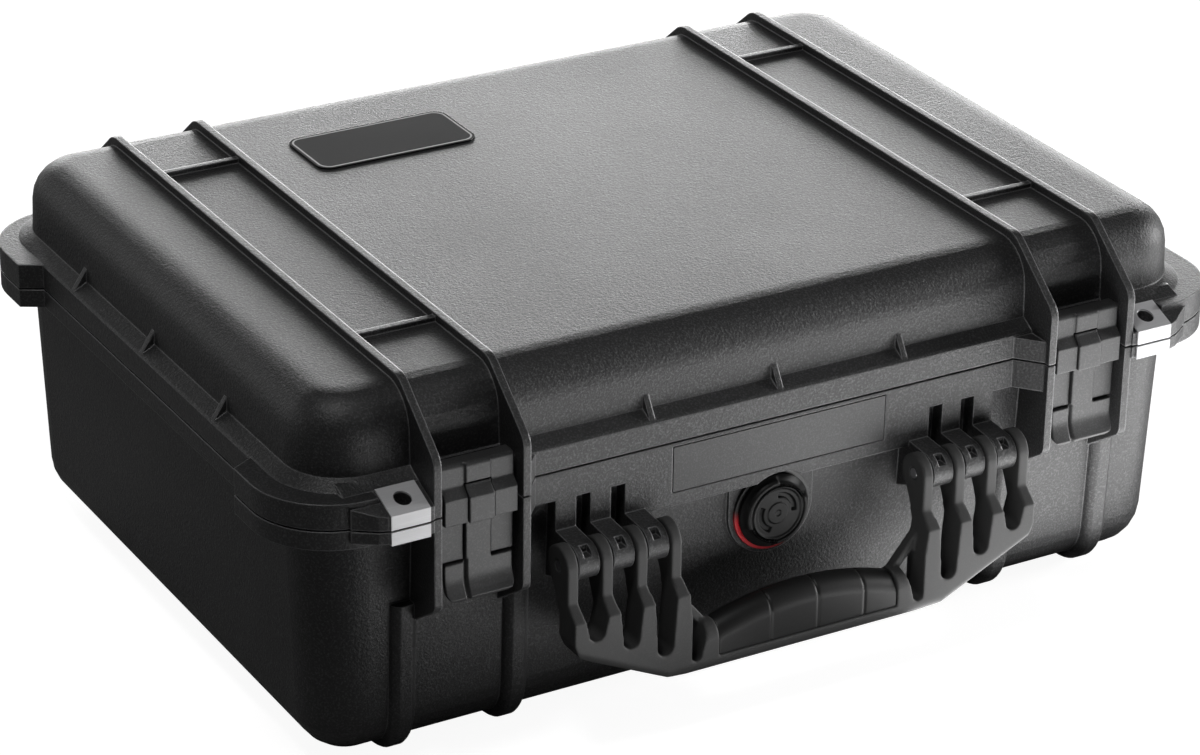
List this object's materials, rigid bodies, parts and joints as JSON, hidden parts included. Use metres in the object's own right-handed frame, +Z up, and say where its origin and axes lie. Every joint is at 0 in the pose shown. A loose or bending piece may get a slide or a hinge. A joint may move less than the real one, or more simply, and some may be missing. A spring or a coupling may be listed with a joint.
{
  "type": "laptop hard case",
  "caption": "Hard-shell laptop case with a hinged ribbed lid, two double-throw latches, a folding handle, padlock ears and a pressure valve.",
  "frame": {"origin": "middle of the case's footprint on the ground, as it lies on its foot runners", "axes": "+X along the length, with the hinges behind; +Y from the handle to the hinges; +Z up through the lid"},
  "size_m": [0.5, 0.3993, 0.188],
  "materials": {
    "shell_plastic": "fine moulded texture",
    "latch_plastic": "moulded",
    "handle_plastic": "moulded",
    "grip_rubber": "smooth over-moulded",
    "seal_rubber": "smooth",
    "pin_steel": "ground",
    "plate_steel": "polished sheet",
    "label_film": "bare gloss label with a pale edge line",
    "panel_plastic": "smooth",
    "ring_red": "moulded red ring",
    "knob_plastic": "moulded",
    "foam_grey": "open-cell foam"
  },
  "bodies": {
    "base": {"base_shell": "shell_plastic", "name_panel": "panel_plastic", "valve_stem": "latch_plastic", "valve_nut": "latch_plastic", "valve_ring": "ring_red", "base_ear_left": "shell_plastic", "base_ear_right": "shell_plastic", "base_lock_plate_left": "plate_steel", "base_lock_plate_right": "plate_steel", "hinge_pin_left": "pin_steel", "hinge_pin_right": "pin_steel", "handle_pin_left": "pin_steel", "handle_pin_right": "pin_steel", "foam_pad": "foam_grey", "foam_insert": "foam_grey"},
    "lid": {"lid_shell": "shell_plastic", "lid_seal": "seal_rubber", "lid_label": "label_film", "lid_ear_left": "shell_plastic", "lid_ear_right": "shell_plastic", "lid_lock_plate_left": "plate_steel", "lid_lock_plate_right": "plate_steel", "latch_pin_left": "pin_steel", "latch_pin_right": "pin_steel", "foam_lid": "foam_grey"},
    "latch_left": {"latch_body_left": "latch_plastic", "lever_pin_left": "pin_steel"},
    "latch_right": {"latch_body_right": "latch_plastic", "lever_pin_right": "pin_steel"},
    "lever_left": {"latch_lever_left": "latch_plastic"},
    "lever_right": {"latch_lever_right": "latch_plastic"},
    "handle": {"handle_frame": "handle_plastic", "handle_grip": "grip_rubber"},
    "knob": {"valve_knob": "knob_plastic"}
  },
  "joints": [
    {"name": "lid_hinge", "type": "hinge", "parent": "base", "child": "lid", "pos_m": [0, 0.1902, 0.1334], "axis": [-1, 0, 0], "range_deg": [0, 105]},
    {"name": "latch_left_hinge", "type": "hinge", "parent": "lid", "child": "latch_left", "pos_m": [-0.16095, -0.1732, 0.148], "axis": [-1, 0, 0], "range_deg": [0, 110]},
    {"name": "latch_right_hinge", "type": "hinge", "parent": "lid", "child": "latch_right", "pos_m": [0.16095, -0.1732, 0.148], "axis": [-1, 0, 0], "range_deg": [0, 110]},
    {"name": "lever_left_hinge", "type": "hinge", "parent": "latch_left", "child": "lever_left", "pos_m": [-0.16095, -0.1777, 0.1345], "axis": [-1, 0, 0], "range_deg": [0, 50]},
    {"name": "lever_right_hinge", "type": "hinge", "parent": "latch_right", "child": "lever_right", "pos_m": [0.16095, -0.1777, 0.1345], "axis": [-1, 0, 0], "range_deg": [0, 50]},
    {"name": "handle_hinge", "type": "hinge", "parent": "base", "child": "handle", "pos_m": [0, -0.1832, 0.0947], "axis": [-1, 0, 0], "range_deg": [0, 100]},
    {"name": "valve_twist", "type": "hinge", "parent": "base", "child": "knob", "pos_m": [0, -0.168, 0.084], "axis": [0, -1, 0], "range_deg": [0, 180]}
  ]
}
